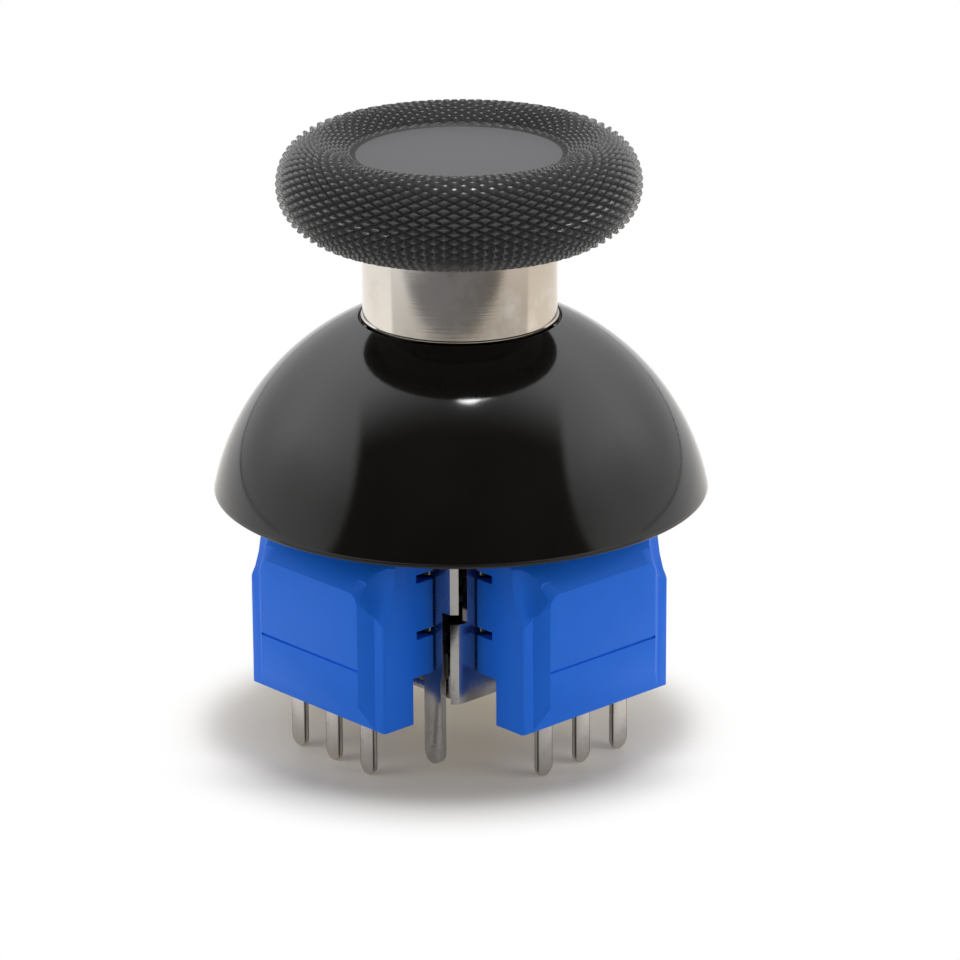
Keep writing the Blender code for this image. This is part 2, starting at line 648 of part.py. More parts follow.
def make_dome():
    """The cover: an ellipsoid outside, with a recess for the collar, and a sphere inside."""
    recess = COLLAR_RADIUS + COLLAR_GAP
    start = math.degrees(math.acos((recess + DOME_EDGE) / DOME_WIDE))
    end = math.degrees(math.asin((DOME_RIM_Z + DOME_EDGE - DOME_CENTRE_Z) / DOME_TALL))
    outside = arc((0, DOME_CENTRE_Z), (DOME_WIDE, DOME_TALL), start, end, 11)
    web_z = DOME_SEAT_Z - DOME_WEB
    inner_start = math.degrees(math.asin((DOME_RIM_Z - GIMBAL_Z) / DOME_INNER))
    inner_end = math.degrees(math.asin((web_z - GIMBAL_Z) / DOME_INNER))
    inside = arc((0, GIMBAL_Z), (DOME_INNER, DOME_INNER), inner_start, inner_end, 5)
    bore = SHAFT_RADIUS + PRESS_FIT
    boss_z = web_z - DOME_BOSS_DROP
    turned("dome", [(recess, outside[0][1] - DOME_EDGE), *outside,
                    (outside[-1][0] - DOME_EDGE, DOME_RIM_Z), *inside, (DOME_BOSS_RADIUS, web_z),
                    (DOME_BOSS_RADIUS, boss_z), (bore, boss_z), (bore, DOME_SEAT_Z),
                    (recess, DOME_SEAT_Z)], black, tilt_axes, FINE)


def make_collar():
    """The turned metal neck: its foot stands in the dome and its bore takes the topper's stem."""
    bottom = DOME_SEAT_Z + REST
    floor = bottom + COLLAR_FLOOR
    bore = SHAFT_RADIUS + PRESS_FIT
    bevel = 0.12
    turned("neck_collar", [(SOCKET_RADIUS, COLLAR_TOP - bevel), (SOCKET_RADIUS + bevel, COLLAR_TOP),
                           (COLLAR_RADIUS - bevel, COLLAR_TOP), (COLLAR_RADIUS, COLLAR_TOP - bevel),
                           (COLLAR_RADIUS, COLLAR_BOTTOM + bevel),
                           (COLLAR_RADIUS - bevel, COLLAR_BOTTOM), (SPIGOT_RADIUS, COLLAR_BOTTOM),
                           (SPIGOT_RADIUS, bottom), (bore, bottom), (bore, floor),
                           (SOCKET_RADIUS, floor)], satin, tilt_axes, FINE)
    magnet_low = floor + SEAT
    magnet_high = magnet_low + GRIP_MAGNET_THICKNESS
    new_part("neck_magnet", rod("Z", magnet_low, magnet_high, SOCKET_RADIUS - RUN, facets=FINE // 2),
             ferrite, tilt_axes)
    return magnet_high


def knurl_section():
    """Points along the rim's section, one half row apart, from the disc's edge to the underside."""
    start = DISC_RADIUS + DISC_BEVEL + GROOVE
    dish = [(start + (CREST_RADIUS - start) * s / 20,
             DISC_Z + (CREST_Z - DISC_Z) * (1 - (1 - s / 20) ** 2)) for s in range(20)]
    upper = arc((CREST_RADIUS, RIM_Z), (RIM_RADIUS - CREST_RADIUS, CREST_Z - RIM_Z), 90, 0, 40)
    lower = arc((RIM_BOTTOM_RADIUS, RIM_Z),
                (RIM_RADIUS - RIM_BOTTOM_RADIUS, RIM_Z - RIM_BOTTOM_Z), 0, -90, 60)
    fine = [Vector(p) for p in dish + upper + lower[1:]]
    lengths = [0.0]
    for first, second in zip(fine, fine[1:]):
        lengths.append(lengths[-1] + (second - first).length)
    rows = round(lengths[-1] / KNURL_PITCH)
    points = []
    index = 0
    for row in range(rows + 1):
        want = lengths[-1] * row / rows
        while index < len(fine) - 2 and lengths[index + 1] < want:
            index += 1
        share = (want - lengths[index]) / (lengths[index + 1] - lengths[index])
        points.append(fine[index].lerp(fine[index + 1], share))
    return points


def make_topper(stem_bottom):
    """The grip: a smooth disc in a rim of pyramid knurls, and a stem that plugs into the collar.

    The section is spun with two columns to a diamond. Every second vertex of the rim is raised
    into a point and the rest are sunk, in turn from row to row, and each four-sided face is
    split along its two sunk corners, so that four facets meet at each point."""
    section = knurl_section()
    counterbore = COLLAR_RADIUS + SEAT
    web = DISC_Z - TOPPER_WEB
    stem = SOCKET_RADIUS - SEAT
    recess = SOCKET_RADIUS - 0.55
    head = [(0, DISC_Z), (DISC_RADIUS, DISC_Z), (DISC_RADIUS + DISC_BEVEL, DISC_Z - DISC_BEVEL),
            (DISC_RADIUS + DISC_BEVEL + 0.08, DISC_Z - DISC_BEVEL)]
    tail = [(counterbore, RIM_BOTTOM_Z + 0.3), (counterbore, web), (0, web)]
    columns = 2 * KNURL_COUNT
    bm = bmesh.new()
    mark = bm.verts.layers.int.new("row")
    profile = []
    for row, (radius, height) in enumerate(head + [tuple(p) for p in section] + tail):
        vert = bm.verts.new((radius, 0, height))
        vert[mark] = row - len(head)
        profile.append(vert)
    edges = [bm.edges.new(pair) for pair in zip(profile, profile[1:])]
    bmesh.ops.spin(bm, geom=profile + edges, axis=(0, 0, 1), cent=(0, 0, 0), dvec=(0, 0, 0),
                   angle=math.tau, steps=columns, use_merge=True)
    bmesh.ops.remove_doubles(bm, verts=bm.verts, dist=1e-4)
    bmesh.ops.recalc_face_normals(bm, faces=bm.faces)
    rows = range(1, len(section) - 1)
    raised = {}
    for vert in bm.verts:
        row = vert[mark]
        if row in rows:
            tangent = section[row + 1] - section[row - 1]
            outward = Vector((tangent.y, -tangent.x)).normalized()
            outward = -outward if outward.dot(section[row] - Vector((CREST_RADIUS, RIM_Z))) < 0 \
                else outward
            angle = math.atan2(vert.co.y, vert.co.x)
            column = round(angle / (math.tau / columns))
            up = (row + column) % 2 == 0
            raised[vert] = up
            step = KNURL_HEIGHT / 2 if up else -KNURL_HEIGHT / 2
            radius = vert.co.xy.length + outward.x * step
            vert.co = (radius * math.cos(angle), radius * math.sin(angle),
                       vert.co.z + outward.y * step)
    split_knurl_faces(bm, raised)
    topper = new_part("topper", to_mesh(bm), grip, topper_axis)
    join(topper, rod("Z", stem_bottom, DISC_Z - TOPPER_WEB / 2, stem, facets=FINE // 2))
    cut(topper, rod("Z", stem_bottom - 1, stem_bottom + GRIP_MAGNET_THICKNESS + 0.15, recess,
                    facets=FINE // 2))
    low = stem_bottom + REST
    disc = rod("Z", low, low + GRIP_MAGNET_THICKNESS, recess - RUN, facets=FINE // 2)
    new_part("topper_magnet", disc, ferrite, topper_axis)


def split_knurl_faces(bm, raised):
    """Cuts each face of the knurl between its sunk corners."""
    for face in list(bm.faces):
        corners = list(face.verts)
        if len(corners) == 4 and all(corner in raised for corner in corners):
            sunk = [corner for corner in corners if not raised[corner]]
            bmesh.utils.face_split(face, sunk[0], sunk[1])


# Spring, seat and switch

def make_spring():
    """The return spring in the base's well, and the cup that it pushes against the foot."""
    top = GIMBAL_Z - FOOT_RADIUS - REST
    cup = [(0, top), (SEAT_RADIUS - 0.15, top), (SEAT_RADIUS, top - 0.15),
           (SEAT_RADIUS, BASE_THICKNESS + 0.4), (SEAT_RADIUS - SEAT_SKIRT, BASE_THICKNESS + 0.4),
           (SEAT_RADIUS - SEAT_SKIRT, top - SEAT_TOP_THICKNESS), (0, top - SEAT_TOP_THICKNESS)]
    turned("spring_seat", cup, acetal, tilt_axes)
    low = BASE_THICKNESS + REST + WIRE / 2
    high = top - SEAT_TOP_THICKNESS - REST - WIRE / 2
    steps = 12 * COIL_TURNS
    curve = bpy.data.curves.new("coil", "CURVE")
    curve.dimensions = "3D"
    curve.bevel_depth = WIRE / 2 * MM
    curve.bevel_resolution = 1
    curve.use_fill_caps = True
    line = curve.splines.new("POLY")
    line.points.add(steps)
    for step, point in enumerate(line.points):
        angle = math.tau * COIL_TURNS * step / steps
        point.co = (COIL_RADIUS * MM * math.cos(angle), COIL_RADIUS * MM * math.sin(angle),
                    (low + (high - low) * step / steps) * MM, 1)
    curve.materials.append(spring_wire)
    coil = bpy.data.objects.new("return_spring", curve)
    parts.objects.link(coil)


def make_switch():
    """A square tactile switch that stands on the board beside the frame, under the arm."""
    half = SWITCH_SIDE / 2
    low, high = SWITCH_CENTRE - half, SWITCH_CENTRE + half
    body = new_part("switch_housing", block((low, -half, 0), (high, half, SWITCH_HEIGHT), 0.45,
                                            along((0, 0, 1)), 4), nylon)
    pin_half = PIN_WIDTH / 2
    cut(body, rod("Z", 0.5, SWITCH_HEIGHT + 1, SWITCH_WELL, (SWITCH_CENTRE, 0, 0)))
    for number, place in enumerate((-SWITCH_PIN_SPREAD / 2, SWITCH_PIN_SPREAD / 2), 1):
        outline = [(place + pin_half, 0.4),
                   *arc((place, PIN_TIP + pin_half), (pin_half, pin_half), 0, -180, 8),
                   (place - pin_half, 0.4)]
        near = SWITCH_PIN_PLACE - PIN_THICKNESS / 2
        far = SWITCH_PIN_PLACE + PIN_THICKNESS / 2
        new_part(f"switch_pin_{number}", plate(outline, "X", near, far), tinned)
        cut(body, block((near - SEAT, place - pin_half - SEAT, -1),
                        (far + SEAT, place + pin_half + SEAT, 0.45)))
    lid_low = SWITCH_HEIGHT + REST
    lid = new_part("switch_cover", block((low + 0.1, 0.1 - half, lid_low),
                                         (high - 0.1, half - 0.1, lid_low + SWITCH_COVER), 0.45,
                                         along((0, 0, 1)), 4), steel)
    cut(lid, rod("Z", 1, 3, PLUNGER_RADIUS + SEAT, (SWITCH_CENTRE, 0, 0)))
    snap = turned("switch_dome", [(0, 0.82), (1.0, 0.78), (SNAP_RADIUS, 0.58),
                                  (SNAP_RADIUS - 0.05, 0.54), (1.0, 0.71), (0, 0.75)], steel,
                  facets=20)
    snap.location.x = SWITCH_CENTRE * MM
    flange = 1.2
    plunger = rod("Z", flange, GIMBAL_Z - ARM_RADIUS - SEAT, PLUNGER_RADIUS, (SWITCH_CENTRE, 0, 0))
    button = new_part("switch_plunger", plunger, nylon, switch_axis)
    join(button, rod("Z", flange, flange + 0.4, PLUNGER_FLANGE, (SWITCH_CENTRE, 0, 0)))


make_frame()
make_base()
make_sensor("x", False)
make_sensor("y", True)
make_lower_rocker()
make_upper_rocker()
make_shaft()
make_dome()
neck_magnet_top = make_collar()
make_topper(neck_magnet_top + SEAT)
make_spring()
make_switch()
bpy.context.view_layer.update()
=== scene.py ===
"""Studio picture of an analog thumbstick module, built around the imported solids.

Sizes are millimetres in the module's own frame: the origin is on the stick's axis in the plane of
the circuit board, and +X and -Y are the sides with the sensors. to_mesh turns them into metres.
"""

import math

import bmesh
import bpy
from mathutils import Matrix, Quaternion, Vector


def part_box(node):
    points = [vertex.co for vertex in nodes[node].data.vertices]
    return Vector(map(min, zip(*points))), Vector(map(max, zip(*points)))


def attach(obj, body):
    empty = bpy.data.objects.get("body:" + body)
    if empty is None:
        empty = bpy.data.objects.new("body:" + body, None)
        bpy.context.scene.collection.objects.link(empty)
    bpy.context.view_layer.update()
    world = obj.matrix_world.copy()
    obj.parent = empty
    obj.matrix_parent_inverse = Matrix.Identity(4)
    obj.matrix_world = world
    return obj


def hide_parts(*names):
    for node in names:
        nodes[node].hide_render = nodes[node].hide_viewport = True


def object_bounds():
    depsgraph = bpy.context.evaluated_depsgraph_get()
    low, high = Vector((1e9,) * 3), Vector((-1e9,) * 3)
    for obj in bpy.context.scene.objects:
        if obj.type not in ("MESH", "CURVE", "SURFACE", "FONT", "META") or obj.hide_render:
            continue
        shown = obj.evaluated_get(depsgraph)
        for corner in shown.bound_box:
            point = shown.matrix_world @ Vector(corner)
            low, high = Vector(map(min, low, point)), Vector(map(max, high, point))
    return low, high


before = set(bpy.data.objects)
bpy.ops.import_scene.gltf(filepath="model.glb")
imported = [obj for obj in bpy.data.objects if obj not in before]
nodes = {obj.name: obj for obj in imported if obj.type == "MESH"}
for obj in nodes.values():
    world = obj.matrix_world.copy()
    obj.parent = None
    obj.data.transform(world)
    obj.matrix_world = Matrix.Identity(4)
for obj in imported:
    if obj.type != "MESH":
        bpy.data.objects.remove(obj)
cad_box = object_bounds()

MM = 0.001
GIMBAL_Z = 6.3

# Camera, fitted to the photograph
CAMERA_DISTANCE = 236.2
CAMERA_ELEVATION = math.radians(19.29)
CAMERA_AZIMUTH = math.radians(47.17)     # 0 looks along +Y
CAMERA_ROLL = math.radians(-0.3)
CAMERA_TARGET = Vector((0.634, 0.669, 9.294))
CAMERA_LENS = 181.8

# Topper
DISC_Z = 25.77
DISC_RADIUS = 4.9
DISC_BEVEL = 0.1
GROOVE = 0.05            # smooth band between the disc and the knurl
RIM_RADIUS = 8.66
RIM_Z = 24.33
CREST_RADIUS = 6.9
CREST_Z = 26.44
RIM_BOTTOM_RADIUS = 6.1
RIM_BOTTOM_Z = 21.95
RIM_LAND = 0.3           # height of the step inside the rim's underside
TOPPER_WEB = 1.35
DISC_EASE = 0.04         # width and depth of the soft start of the disc's bevel
DISH_STEPS = 20
DISH_CURVE = 1.4         # 1 is a straight slope from the disc to the crest
KNURL_PEAK = 0.23        # of the sharp pyramids, whose tops come off
KNURL_DEPTH = 0.13
KNURL_FLAT = 30          # how far down their tops come off, in percent
PAINTED_LIGHT = "painted_light"        # attribute of the knurl for painted light: 1 on its tops, painted lighter as a highlight, 0 in its grooves, painted near black as shade
KNURL_START = 5.2        # the grooves' painted black shade reaches in to the disc from here
KNURL_FADE = 2           # half rows over which the knurl grows from its ends
KNURL_COUNT = 57
KNURL_PITCH = 0.21       # between half rows, along the section

# Collar and dome
COLLAR_RADIUS = 4.7
COUNTERBORE = COLLAR_RADIUS + 0.1  # in the topper, over the collar
COLLAR_TOP = 24.3
COLLAR_BOTTOM = 17.71
COLLAR_BEVEL = 0.12      # at its upper end
LIP = 0.08               # that stands out at the collar's lower end
SPIGOT_RADIUS = 4.3
SPIGOT_BOTTOM = 17.25
COLLAR_FLOOR = 18.4
SOCKET_RADIUS = 3.3
STEM_RADIUS = 3.25       # the topper's stem, which plugs into the neck's socket
STEM_BOTTOM = 19.6
POCKET_RADIUS = 2.75     # holds the topper's magnet
POCKET_TOP = 20.75
SHAFT_BORE = 1.55
DOME_WIDE = 12.277
DOME_TALL = 12.052
DOME_CENTRE_Z = 6.717
DOME_RIM_Z = 9.094
DOME_EDGE = 0.08         # rounding of the rim and of the recess
DOME_INNER = 11.3
DOME_SEAT_Z = 17.2
DOME_WEB = 0.9
DOME_BOSS_RADIUS = 2.7
DOME_BOSS_DROP = 1.4
RECESS_RADIUS = 4.9

# Frame
FRAME_HALF = 6.2         # outer half width
FRAME_CORNER = 0.7       # radius of its bends in the solid
FRAME_CRISP = 0.75       # how far the shown bends go from there to sharp ones

# Roundings that a copy of a solid gets
MOULDED_ROUND = 0.05
SWITCH_ROUND = 0.06
PIN_ROUND = 0.07
FRAME_ROUND = 0.04
COVER_ROUND = 0.03

# Meshes
MERGE = 1e-4             # points closer than this become one
NEAR = 0.01              # how close to a point of the section counts as on it
SMOOTH = math.radians(32)        # faces that meet more sharply than this keep their edge
KNURL_SMOOTH = math.radians(20)  # the same on the knurl
EDGE = math.radians(30)          # edges sharper than this are rounded
FLAT = math.radians(1)           # and flatter ones than this dissolve
COLLAR_FACETS = 160
DOME_FACETS = 192


# Meshes

def to_mesh(bm, name, sharp=SMOOTH):
    """Turns a bmesh in millimetres into a smooth-shaded mesh in metres."""
    bmesh.ops.scale(bm, vec=(MM, MM, MM), verts=bm.verts)
    mesh = bpy.data.meshes.new(name)
    bm.to_mesh(mesh)
    bm.free()
    mesh.shade_smooth()
    mesh.set_sharp_from_angle(angle=sharp)
    return mesh


def add_piece(name, mesh, finish, body, *replaced):
    """Shows a mesh on a body, in place of the CAD nodes that it stands for."""
    piece = bpy.data.objects.new(name, mesh)
    bpy.context.scene.collection.objects.link(piece)
    mesh.materials.append(finish)
    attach(piece, body)
    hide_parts(*replaced)


def arc(centre, radii, start, end, steps):
    """Points on an ellipse's arc, from one angle to another, in degrees."""
    points = []
    for step in range(steps + 1):
        angle = math.radians(start + (end - start) * step / steps)
        points.append((centre[0] + radii[0] * math.cos(angle), centre[1] + radii[1] * math.sin(angle)))
    return points


def spin_profile(profile, steps, closed=True):
    """Turns (radius, height) points about the stick's axis; a closed profile is a loop."""
    bm = bmesh.new()
    points = [bm.verts.new((radius, 0, height)) for radius, height in profile]
    edges = [bm.edges.new(pair) for pair in zip(points, points[1:])]
    if closed:
        edges.append(bm.edges.new((points[-1], points[0])))
    bmesh.ops.spin(bm, geom=points + edges, axis=(0, 0, 1), cent=(0, 0, 0), dvec=(0, 0, 0),
                   angle=math.tau, steps=steps, use_merge=True)
    bmesh.ops.remove_doubles(bm, verts=bm.verts, dist=MERGE)
    bmesh.ops.recalc_face_normals(bm, faces=bm.faces)
    return bm


def tighten_bends(bm):
    """Pulls the frame's four vertical bends towards sharp corners."""
    middle = FRAME_HALF - FRAME_CORNER
    for vert in bm.verts:
        x, y = abs(vert.co.x) - middle, abs(vert.co.y) - middle
        if x > 0 and y > 0:
            pull = FRAME_CRISP * (math.hypot(x, y) / max(x, y) - 1)
            vert.co.x += math.copysign(x * pull, vert.co.x)
            vert.co.y += math.copysign(y * pull, vert.co.y)


def rounded_copy(node, width, reshape=None):
    """A merged copy of a CAD node's mesh, its edges rounded as far as short edges leave room."""
    bm = bmesh.new()
    bm.from_mesh(nodes[node].data)
    bmesh.ops.scale(bm, vec=(1 / MM, 1 / MM, 1 / MM), verts=bm.verts)
    bmesh.ops.remove_doubles(bm, verts=bm.verts, dist=MERGE)
    bmesh.ops.dissolve_limit(bm, angle_limit=FLAT, verts=bm.verts, edges=bm.edges, delimit=set())
    if reshape:
        reshape(bm)
    edges = [e for e in bm.edges if len(e.link_faces) == 2 and e.calc_face_angle(0) > EDGE]
    bmesh.ops.bevel(bm, geom=edges, offset=width, offset_type="OFFSET", segments=2,
                    profile=0.5, affect="EDGES", clamp_overlap=True, material=-1)
    bmesh.ops.triangulate(bm, faces=[f for f in bm.faces if len(f.verts) > 4])
    return to_mesh(bm, node)


# Materials

class Value:
    """A shader socket that takes arithmetic: an expression on it adds its Math nodes."""

    def __init__(self, finish, socket):
        self.finish = finish
        self.socket = socket

    def math(self, operation, *others):
        return self.finish.make("ShaderNodeMath", {"operation": operation},
                                dict(enumerate((self, *others))))

    def __add__(self, other):
        return self.math("ADD", other)

    def __mul__(self, other):
        return self.math("MULTIPLY", other)

    def __sub__(self, other):
        return self.math("SUBTRACT", other)

    def __rsub__(self, other):
        return self * -1 + other

    __radd__ = __add__
    __rmul__ = __mul__

    def power(self, exponent):
        return self.math("POWER", exponent)

    def step(self, low, high):
        """0 below one limit, 1 above the other, smooth between them."""
        return self.finish.make("ShaderNodeMapRange", {"interpolation_type": "SMOOTHSTEP"},
                                {"Value": self, "From Min": low, "From Max": high})

    def axis(self, letter):
        node = self.finish.tree.nodes.new("ShaderNodeSeparateXYZ")
        self.finish.connect(node.inputs[0], self)
        return Value(self.finish, node.outputs[letter])


class Finish:
    """A node tree with one method that makes nodes: type, settings, then socket values."""

    def __init__(self, tree):
        self.tree = tree

    def connect(self, socket, value):
        if isinstance(value, Value):
            self.tree.links.new(value.socket, socket)
        else:
            socket.default_value = value

    def make(self, kind, settings=None, inputs=None, output=0):
        node = self.tree.nodes.new(kind)
        for name, value in (settings or {}).items():
            setattr(node, name, value)
        for name, value in (inputs or {}).items():
            self.connect(node.inputs[name], value)
        return Value(self, node.outputs[output])

    def ray(self, kind):
        """1 for the rays of a kind, 0 for the rest."""
        return Value(self, self.tree.nodes.new("ShaderNodeLightPath").outputs[kind])

    def millimetres(self, stretch=(1, 1, 1)):
        """The place on the piece in millimetres, stretched to give a pattern its grain."""
        place = self.make("ShaderNodeTexCoord", output="Object")
        return self.make("ShaderNodeVectorMath", {"operation": "MULTIPLY"},
                         {0: place, 1: [s / MM for s in stretch]})

    def noise(self, scale, detail=2.0, roughness=0.5, stretch=(1, 1, 1)):
        """Soft noise with so many features to the millimetre, between 0 and 1."""
        return self.make("ShaderNodeTexNoise", None,
                         {"Vector": self.millimetres(stretch), "Scale": scale, "Detail": detail,
                          "Roughness": roughness})

    def blend(self, factor, first, second):
        """A colour between two colours."""
        return self.make("ShaderNodeMix", {"data_type": "RGBA"},
                         {"Factor": factor, 6: first, 7: second}, output=2)

    def bump(self, height, strength, distance):
        return self.make("ShaderNodeBump", None,
                         {"Height": height, "Strength": strength, "Distance": distance * MM})


def new_finish(name):
    material = bpy.data.materials.new(name)
    material.use_nodes = True
    return material, Finish(material.node_tree)


def surface(finish, **sockets):
    """Sets the Principled shader's sockets; an underscore in a name stands for a space."""
    shader = finish.tree.nodes["Principled BSDF"]
    for name, value in sockets.items():
        finish.connect(shader.inputs[name.replace("_", " ")], value)


def rgb(red, green, blue):
    return (red, green, blue, 1)


def gloss_black():
    """Polished black moulding with a faint haze of handling and hair-fine scratches."""
    material, finish = new_finish("dome gloss black")
    haze = finish.noise(0.35, 4, 0.6)
    hairs = finish.noise(1.0, 2, 0.6, (9, 9, 0.7)).step(0.62, 0.75)
    surface(finish, Base_Color=finish.blend(haze, rgb(0.006, 0.0055, 0.005), rgb(0.011, 0.01, 0.009)),
            Roughness=haze * 0.07 + hairs * 0.06 + 0.06,
            Normal=finish.bump(finish.noise(0.9, 3), 0.05, 0.05))
    return material


def grip_black():
    """Black moulding of the topper: a shiny knurl around a matt disc worn to grey. The knurl's tops
    are painted lighter as a highlight, and its grooves and the band next to the disc near black as
    shade.
    """
    material, finish = new_finish("topper satin black")
    cloud = finish.noise(0.5, 3)
    grain = finish.noise(9, 2)
    place = finish.millimetres()
    x, y = place.axis("X"), place.axis("Y")
    out = (x * x + y * y).power(0.5)
    disc = 1 - out.step(DISC_RADIUS, DISC_RADIUS + DISC_BEVEL)
    inner = 1 - out.step(KNURL_START, KNURL_START + DISC_BEVEL)
    # painted light: the knurl's tops are painted lighter as a highlight, its grooves near black as
    # shade
    painted_light = finish.make("ShaderNodeAttribute", {"attribute_name": PAINTED_LIGHT}, output="Fac")
    tops = finish.blend(cloud, rgb(0.078, 0.077, 0.079), rgb(0.094, 0.093, 0.095))
    knurl = finish.blend(painted_light.step(0.45, 0.95), rgb(0.001, 0.001, 0.001), tops)
    worn = finish.blend(cloud, rgb(0.066, 0.064, 0.068), rgb(0.078, 0.076, 0.080))
    surface(finish, Base_Color=finish.blend(disc, knurl, worn),
            Roughness=cloud * 0.08 + grain * 0.06 + 0.16 + inner * 0.36, Specular_IOR_Level=0.5,
            Normal=finish.bump(grain, 0.12, 0.02))
    return material


def sensor_blue():
    """Blue moulding of the sensor housings, with a fine moulded grain."""
    material, finish = new_finish("sensor blue")
    cloud = finish.noise(0.6, 4, 0.6)
    grain = finish.noise(7, 3)
    surface(finish, Base_Color=finish.blend(cloud, rgb(0.004, 0.150, 0.80), rgb(0.007, 0.175, 0.88)),
            Roughness=grain * 0.1 + cloud * 0.08 + 0.42, Specular_IOR_Level=0.3,
            Normal=finish.bump(grain, 0.18, 0.02))
    return material


def turned_nickel():
    """Satin nickel with the fine rings that a lathe leaves, in random patches of a warmer, darker
    tone, and darker towards one side as painted shade.
    """
    material, finish = new_finish("collar satin nickel")
    rings = finish.noise(1.0, 3, 0.7, (0.15, 0.15, 14))
    cloud = finish.noise(0.8, 3)
    place = finish.millimetres()
    # the tone darkens towards one side: painted shade; the patches themselves are random tone
    side = place.axis("X") * SIDE.x + place.axis("Y") * SIDE.y
    patches_and_side_shade = (finish.noise(0.35, 4, 0.65) - side * 0.035).step(0.32, 0.66)
    tint = finish.blend(patches_and_side_shade, rgb(0.52, 0.455, 0.38), rgb(0.68, 0.645, 0.60))
    surface(finish, Base_Color=tint, Metallic=1.0, Roughness=rings * 0.07 + cloud * 0.05 + 0.05,
            Normal=finish.bump(rings, 0.12, 0.01))
    return material


def stamped_steel():
    """Bright nickel on stamped sheet, with rolling marks and small rubs; the lugs that stand out past
    the frame's walls into the housings' slots are painted near black as shade.
    """
    material, finish = new_finish("stamped bright steel")
    rolling = finish.noise(1.0, 3, 0.6, (6, 6, 0.6))
    rubs = finish.noise(1.4, 4, 0.7).step(0.5, 0.8)
    place = finish.millimetres()
    # painted shade: steel past the frame's walls, its lugs in the slots, is painted near black
    out = place.axis("X").math("MAXIMUM", place.axis("Y") * -1)
    lug_shade = out.step(FRAME_HALF + 0.02, FRAME_HALF + 0.1)
    bright = finish.blend(rubs, rgb(0.52, 0.515, 0.51), rgb(0.42, 0.41, 0.40))
    surface(finish, Base_Color=finish.blend(lug_shade, bright, rgb(0.03, 0.03, 0.035)),
            Metallic=1.0, Roughness=rolling * 0.12 + rubs * 0.1 + 0.17,
            Normal=finish.bump(rolling, 0.2, 0.015))
    return material


def tinned_metal(pin):
    """Dull tin on a pin, with the uneven skin of a dipped coat; its coined edges are painted darker,
    as painted shade standing in for dark reflections.
    """
    material, finish = new_finish("tinned " + pin)
    low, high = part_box(pin)
    middle = (low + high) / (2 * MM)
    half = (high - low) / (2 * MM)
    place = finish.millimetres()
    off_x = (place.axis("X") - middle.x).math("ABSOLUTE")
    off_y = (place.axis("Y") - middle.y).math("ABSOLUTE")
    # painted shade: a dark band along the pin's edges stands in for dark reflections
    edge = off_x.step(half.x - 0.1, half.x - 0.03) * off_y.step(half.y - 0.1, half.y - 0.03)
    skin = finish.noise(2.2, 4, 0.6)
    tin = finish.blend(skin, rgb(0.50, 0.475, 0.44), rgb(0.62, 0.595, 0.56))
    surface(finish, Base_Color=finish.blend(edge, tin, rgb(0.10, 0.09, 0.08)),
            Metallic=1.0, Roughness=skin * 0.2 + 0.2, Normal=finish.bump(skin, 0.3, 0.03))
    return material


def plastic(name, dark, light, roughness):
    """A plain moulding with grain, in two close shades."""
    material, finish = new_finish(name)
    cloud = finish.noise(0.7, 3)
    grain = finish.noise(6, 2)
    surface(finish, Base_Color=finish.blend(cloud, rgb(*dark), rgb(*light)),
            Roughness=grain * 0.12 + roughness, Normal=finish.bump(grain, 0.15, 0.02))
    return material


def bright_metal(name, dark, light, stretch):
    """Plated metal with marks along one direction."""
    material, finish = new_finish(name)
    marks = finish.noise(2.0, 3, 0.6, stretch)
    surface(finish, Base_Color=finish.blend(marks, rgb(*dark), rgb(*light)), Metallic=1.0,
            Roughness=marks * 0.15 + 0.15, Normal=finish.bump(marks, 0.2, 0.01))
    return material


# Stage

def make_camera():
    camera = bpy.data.objects.new("camera", bpy.data.cameras.new("camera"))
    bpy.context.scene.collection.objects.link(camera)
    flat = math.cos(CAMERA_ELEVATION)
    back = Vector((math.sin(CAMERA_AZIMUTH) * flat, -math.cos(CAMERA_AZIMUTH) * flat,
                   math.sin(CAMERA_ELEVATION)))
    camera.location = (CAMERA_TARGET + back * CAMERA_DISTANCE) * MM
    turn = back.to_track_quat("Z", "Y") @ Quaternion((0, 0, 1), CAMERA_ROLL)
    camera.rotation_euler = turn.to_euler()
    camera.data.lens = CAMERA_LENS
    camera.data.clip_start = 10 * MM
    camera.data.clip_end = 5
    bpy.context.scene.camera = camera


make_camera()
bpy.context.scene.view_settings.view_transform = "Standard"
FRONT = Vector((math.sin(CAMERA_AZIMUTH), -math.cos(CAMERA_AZIMUTH), 0))
SIDE = Vector((math.cos(CAMERA_AZIMUTH), math.sin(CAMERA_AZIMUTH), 0))
UP = Vector((0, 0, 1))
FLOOR_Z = cad_box[0].z
FLOOR_SIZE = 1500
SHADOW_FRONT = 3.2       # the shadow's middle
SHADOW_SIDE = -0.7
SHADOW_WARM = (5, 13)    # the floor's warm tint, painted shadow, ends over this distance from there
SHADOW_DEEP = (5.3, 9.5)  # and a painted shadow darkens it over this, ahead of the module
FADE = (11.0, 15.5)      # the floor turns plain white over this distance from the shadow's middle
FRONT_FADE = (11.2, 18.2)  # the same ahead of the module, where the shadow ends sooner
FRONT_LONG = 1.15        # that end is an ellipse: distances ahead count for this much
FRONT_WIDE = 1.05        # and distances aside for this
TABLE_FRONT = -385.8     # the white table top ends at a circle: its middle
TABLE_SIDE = 65.3
TABLE_RADIUS = 460.5     # and its radius
TABLE_WIDE = (80, 150)   # its end shows only this far to each side
MIRROR_FADE = (60, 150)  # polished surfaces see the floor turn plain white over this distance
LAMP_AIM_Z = 12
SOFT_LIGHT = 0.5         # the studio's light on what doesn't shine
SOFT_FRONT = 0.1         # and what is left of it in front
ROOM_DIM = 0.5           # what polished surfaces mirror: its walls, low down
ROOM_WHITE = 1.7         # high up
